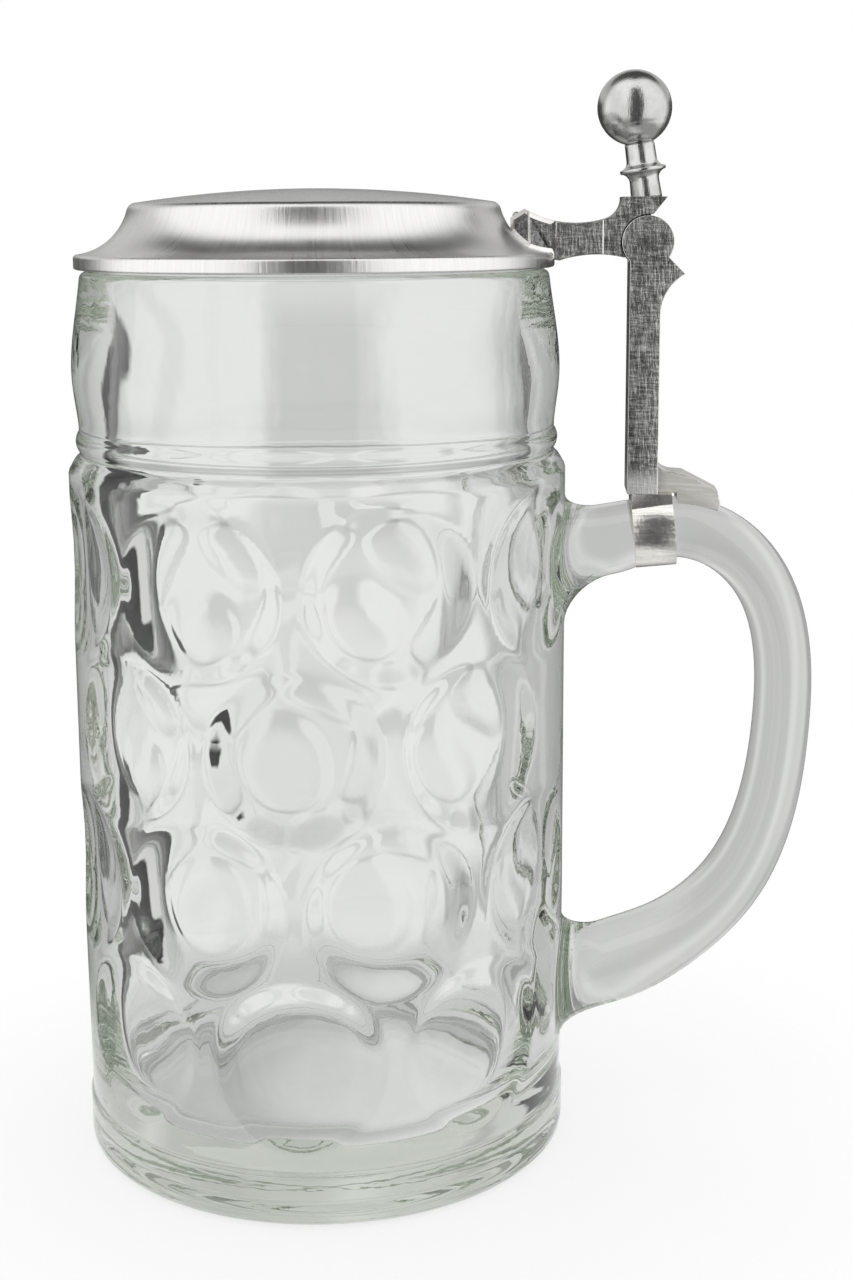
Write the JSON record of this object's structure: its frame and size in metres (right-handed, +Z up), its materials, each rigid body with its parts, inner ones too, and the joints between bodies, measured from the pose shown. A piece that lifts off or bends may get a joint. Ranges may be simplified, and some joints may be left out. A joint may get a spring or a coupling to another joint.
{
  "type": "beer stein",
  "caption": "Dimpled clear glass stein with a C-shaped glass handle, a domed metal lid on a pinned hinge post and a ball thumb rest.",
  "frame": {"origin": "centre of the flat underside of the glass, where the mug stands", "axes": "+Z up along the mug's axis, +X from the axis to the handle, the hinge pin along Y"},
  "size_m": [0.1691, 0.1126, 0.2448],
  "materials": {
    "clear_glass": "clear pressed soda-lime glass with a faint green tint",
    "lid_steel": "brushed stainless steel sheet",
    "sanded_pewter": "cast pewter sanded flat, dark with crossing scratches",
    "cast_pewter": "bright cast pewter, lightly scraped",
    "polished_pewter": "polished pewter",
    "pin_steel": "drawn steel wire"
  },
  "bodies": {
    "mug": {"glass_mug": "clear_glass", "hinge_post": "sanded_pewter", "hinge_pin": "pin_steel", "hinge_plug_front": "sanded_pewter", "hinge_plug_back": "sanded_pewter", "handle_band": "cast_pewter", "handle_rest": "cast_pewter"},
    "lid": {"lid_shell": "lid_steel", "lid_arm": "sanded_pewter", "thumb_stem": "polished_pewter", "thumb_ball": "polished_pewter"}
  },
  "joints": [
    {"name": "lid_hinge", "type": "hinge", "parent": "mug", "child": "lid", "pos_m": [0.0737, 0, 0.2079], "axis": [0, 1, 0], "range_deg": [0, 105]}
  ]
}
